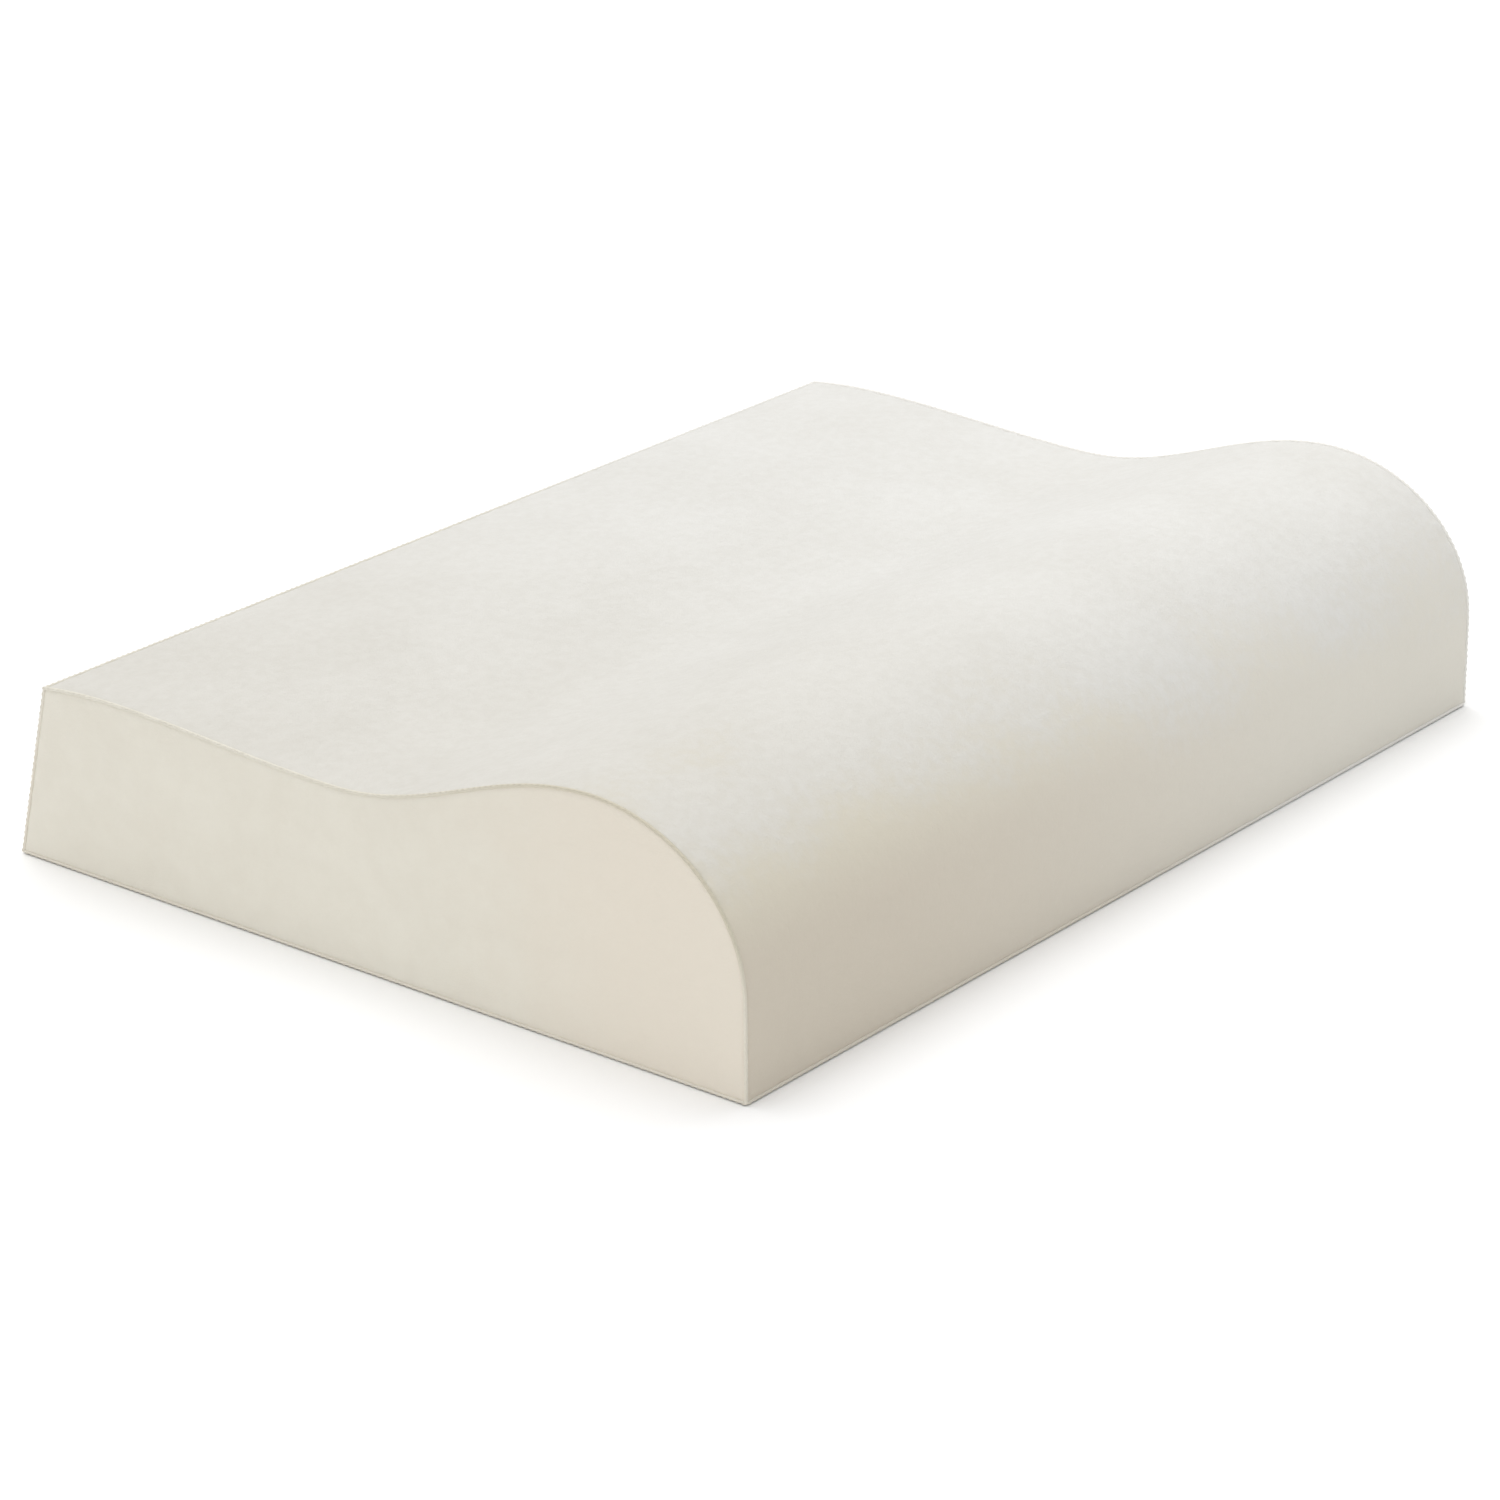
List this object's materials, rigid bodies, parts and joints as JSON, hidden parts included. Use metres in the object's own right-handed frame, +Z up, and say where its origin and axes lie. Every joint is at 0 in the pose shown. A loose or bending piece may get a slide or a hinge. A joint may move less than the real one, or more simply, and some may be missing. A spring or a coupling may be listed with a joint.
{
  "type": "cervical contour pillow",
  "caption": "Contoured foam neck support pillow with a high and a low lobe, in a sewn cover with end panels and a coil zip along its rear face.",
  "frame": {"origin": "centre of the base, on the surface that the pillow lies on", "axes": "+X along the pillow's length, -Y towards the high front lobe, +Y towards the zipped rear face, +Z up"},
  "size_m": [0.5, 0.38, 0.105],
  "materials": {
    "foam": "open-cell slow-recovery foam, matt",
    "liner_knit": "thin white jersey knit",
    "cover_top_cloth": "fine short-pile velour, off-white",
    "cover_side_cloth": "smooth fine knit, cream",
    "cover_base_cloth": "plain tricot, cream",
    "thread": "polyester sewing thread",
    "zip_tape": "woven zip tape",
    "zip_coil": "nylon coil",
    "zip_metal": "zinc alloy, satin nickel",
    "label_satin": "white woven satin, blank"
  },
  "bodies": {
    "pillow": {"foam_core": "foam", "inner_liner": "liner_knit", "cover_top_panel": "cover_top_cloth", "cover_bottom_panel": "cover_base_cloth", "cover_left_end_panel": "cover_side_cloth", "cover_right_end_panel": "cover_side_cloth", "cover_rear_strip_upper": "cover_side_cloth", "cover_rear_strip_lower": "cover_side_cloth", "seam_left_end": "thread", "seam_right_end": "thread", "seam_rear_top": "thread", "seam_front_bottom": "thread", "seam_rear_bottom": "thread", "zip_tape_upper": "zip_tape", "zip_tape_lower": "zip_tape", "zip_coil_upper": "zip_coil", "zip_coil_lower": "zip_coil", "zip_top_stops": "zip_metal", "zip_bottom_stop": "zip_metal", "zip_topstitching": "thread", "zip_bartacks": "thread", "care_label": "label_satin"},
    "slider": {"zip_slider": "zip_metal"},
    "pull_tab": {"zip_pull_tab": "zip_metal"}
  },
  "joints": [
    {"name": "zip_slide", "type": "slide", "parent": "pillow", "child": "slider", "axis": [-1, 0, 0], "range_m": [0, 0.4212]},
    {"name": "tab_hinge", "type": "hinge", "parent": "slider", "child": "pull_tab", "pos_m": [0.2106, 0.18302, 0.03937], "axis": [0, 0.2381, -0.9712], "range_deg": [0, 180]}
  ]
}
